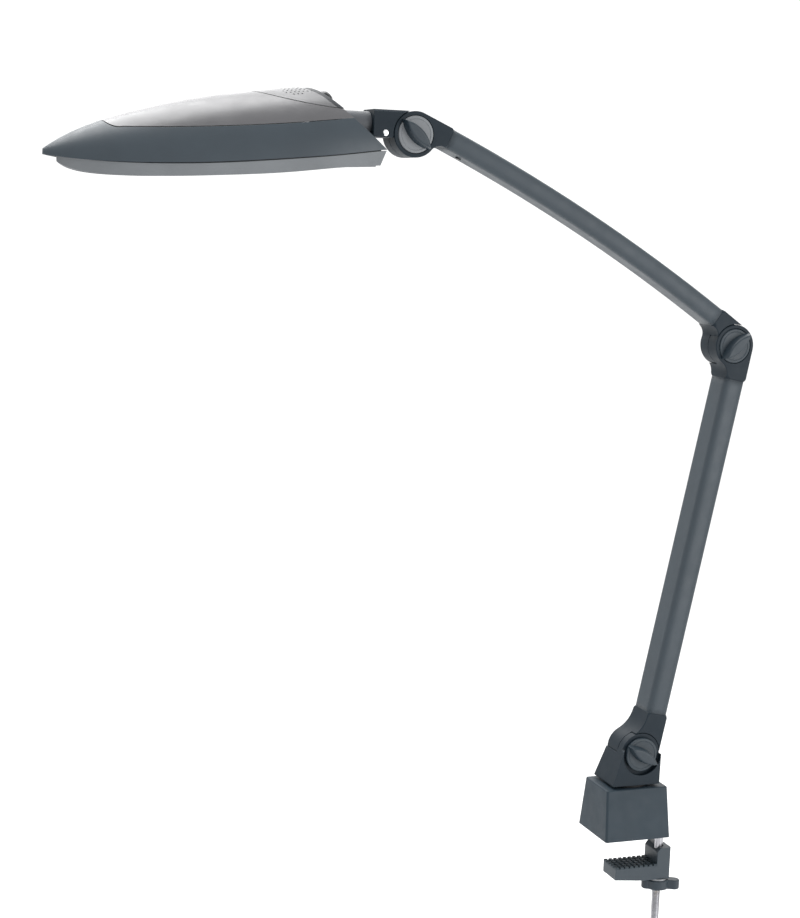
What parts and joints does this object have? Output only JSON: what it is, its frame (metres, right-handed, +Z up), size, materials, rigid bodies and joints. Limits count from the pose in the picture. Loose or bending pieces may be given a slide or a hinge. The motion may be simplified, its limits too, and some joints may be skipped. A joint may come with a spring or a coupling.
{
  "type": "desk lamp",
  "caption": "Swing arm desk lamp: a desk clamp with a screw jaw and wing nut, a turning foot, two folding oval tube arms with knobbed joints, and a long boat-shaped head.",
  "frame": {"origin": "on the underside of the clamp's desk pad, at the middle of the clamp head's footprint, level with the desk's top", "axes": "+Z up, the arms fold in the X-Z plane, the head points to -X, the joint knobs are on the -Y side"},
  "size_m": [0.6684, 0.1004, 0.7973],
  "materials": {
    "cover": "satin moulded",
    "joint": "fine texture, moulded",
    "jaw": "dark paint",
    "wing": "satin moulded",
    "knob": "satin moulded",
    "head_knob": "satin moulded",
    "cap": "satin moulded",
    "pad_rubber": "matte",
    "grip_rubber": "matte, cut in small blocks",
    "spindle_steel": "turned and zinc plated",
    "neck": "satin moulded",
    "black_screw": "black oxide",
    "steel_dark": "zinc plated",
    "screw": "zinc plated",
    "chrome_screw": "polished",
    "brass_insert": "turned",
    "bush": "moulded, self lubricating",
    "friction_fibre": "pressed fibre",
    "tube": "satin powder coat on an extruded tube",
    "shell": "semi gloss moulded",
    "top_panel": "semi gloss moulded",
    "vent_panel": "semi gloss moulded",
    "rear_plate": "satin moulded",
    "button": "polished",
    "rim": "satin moulded",
    "diffuser": "prismatic, translucent",
    "reflector": "white gloss paint",
    "lamp_glass": "white coated inside",
    "white_plastic": "moulded",
    "ballast_can": "white enamel"
  },
  "bodies": {
    "clamp": {"clamp_cover": "cover", "clamp_core": "steel_dark", "spindle_plate": "steel_dark", "plate_screws": "screw", "desk_pad": "pad_rubber", "clamp_spindle": "spindle_steel", "swivel_bush": "bush"},
    "jaw": {"clamp_jaw": "jaw", "jaw_bush": "bush", "jaw_grip": "grip_rubber"},
    "wing_nut": {"wing_nut": "wing", "wing_nut_insert": "brass_insert", "wing_washer": "screw"},
    "turret": {"turret_housing": "joint", "swivel_pin": "steel_dark", "swivel_nut": "screw", "swivel_washer": "pad_rubber"},
    "base_knob": {"base_knob": "knob", "base_knob_bolt": "screw"},
    "lower_arm": {"lower_arm_tube": "tube", "lower_arm_foot_plug": "joint", "lower_arm_top_plug": "joint", "lower_arm_screws": "black_screw", "base_joint_nut": "screw", "base_friction_disc": "friction_fibre", "base_joint_cap": "cap"},
    "elbow_knob": {"elbow_knob": "knob", "elbow_knob_bolt": "screw"},
    "upper_arm": {"upper_arm_tube": "tube", "upper_arm_foot_plug": "joint", "upper_arm_top_plug": "joint", "upper_arm_screws": "black_screw", "elbow_joint_nut": "screw", "elbow_friction_disc": "friction_fibre", "elbow_joint_cap": "cap"},
    "head_knob": {"head_knob": "head_knob", "head_knob_bolt": "screw"},
    "head_bracket": {"head_bracket": "joint", "bracket_screw": "chrome_screw", "head_joint_nut": "screw", "head_friction_disc": "friction_fibre", "head_joint_cap": "cap"},
    "head": {"head_neck": "neck", "head_side_shell": "shell", "head_top_panel": "top_panel", "head_vent_panel": "vent_panel", "switch_plate": "rear_plate", "head_rim": "rim", "diffuser": "diffuser", "reflector": "reflector", "lamp_tubes": "lamp_glass", "lamp_cap": "white_plastic", "lamp_holder": "white_plastic", "mounting_tray": "steel_dark", "ballast": "ballast_can", "tray_screws": "screw", "switch_body": "white_plastic"},
    "switch_button": {"switch_button": "button"}
  },
  "joints": [
    {"name": "base_swivel", "type": "hinge", "parent": "clamp", "child": "turret", "pos_m": [0, 0, 0.05], "axis": [0, 0, 1], "range_deg": [-170, 170]},
    {"name": "base_tilt", "type": "hinge", "parent": "turret", "child": "lower_arm", "pos_m": [0.005, 0, 0.0811], "axis": [0, 1, 0], "range_deg": [-30, 18]},
    {"name": "elbow_tilt", "type": "hinge", "parent": "lower_arm", "child": "upper_arm", "pos_m": [0.08132, 0, 0.47375], "axis": [0, 1, 0], "range_deg": [-50, 72]},
    {"name": "head_tilt", "type": "hinge", "parent": "upper_arm", "child": "head_bracket", "pos_m": [-0.24727, 0, 0.65589], "axis": [0, 1, 0], "range_deg": [-65, 35]},
    {"name": "head_roll", "type": "hinge", "parent": "head_bracket", "child": "head", "pos_m": [-0.28607, 0, 0.66359], "axis": [1, 0, 0], "range_deg": [-45, 45]},
    {"name": "base_knob_turn", "type": "hinge", "parent": "turret", "child": "base_knob", "pos_m": [0.005, -0.0155, 0.0811], "axis": [0, 1, 0], "range_deg": [-180, 180]},
    {"name": "elbow_knob_turn", "type": "hinge", "parent": "lower_arm", "child": "elbow_knob", "pos_m": [0.08132, -0.0155, 0.47375], "axis": [0, 1, 0], "range_deg": [-180, 180]},
    {"name": "head_knob_turn", "type": "hinge", "parent": "upper_arm", "child": "head_knob", "pos_m": [-0.24727, -0.0155, 0.65589], "axis": [0, 1, 0], "range_deg": [-180, 180]},
    {"name": "nut_spin", "type": "hinge", "parent": "jaw", "child": "wing_nut", "pos_m": [0.0268, -0.0224, -0.0443], "axis": [0, 0, 1], "range_deg": [-6930, 2460]},
    {"name": "jaw_slide", "type": "slide", "parent": "clamp", "child": "jaw", "axis": [0, 0, 1], "range_m": [-0.024, 0.0085]},
    {"name": "switch_press", "type": "slide", "parent": "head", "child": "switch_button", "axis": [-0.6561, 0, -0.7547], "range_m": [0, 0.0018], "stiffness_N_per_m": 700}
  ],
  "couplings": [
    {"joint": "nut_spin", "follows": "jaw_slide", "rad_per_m": 5026.5}
  ]
}
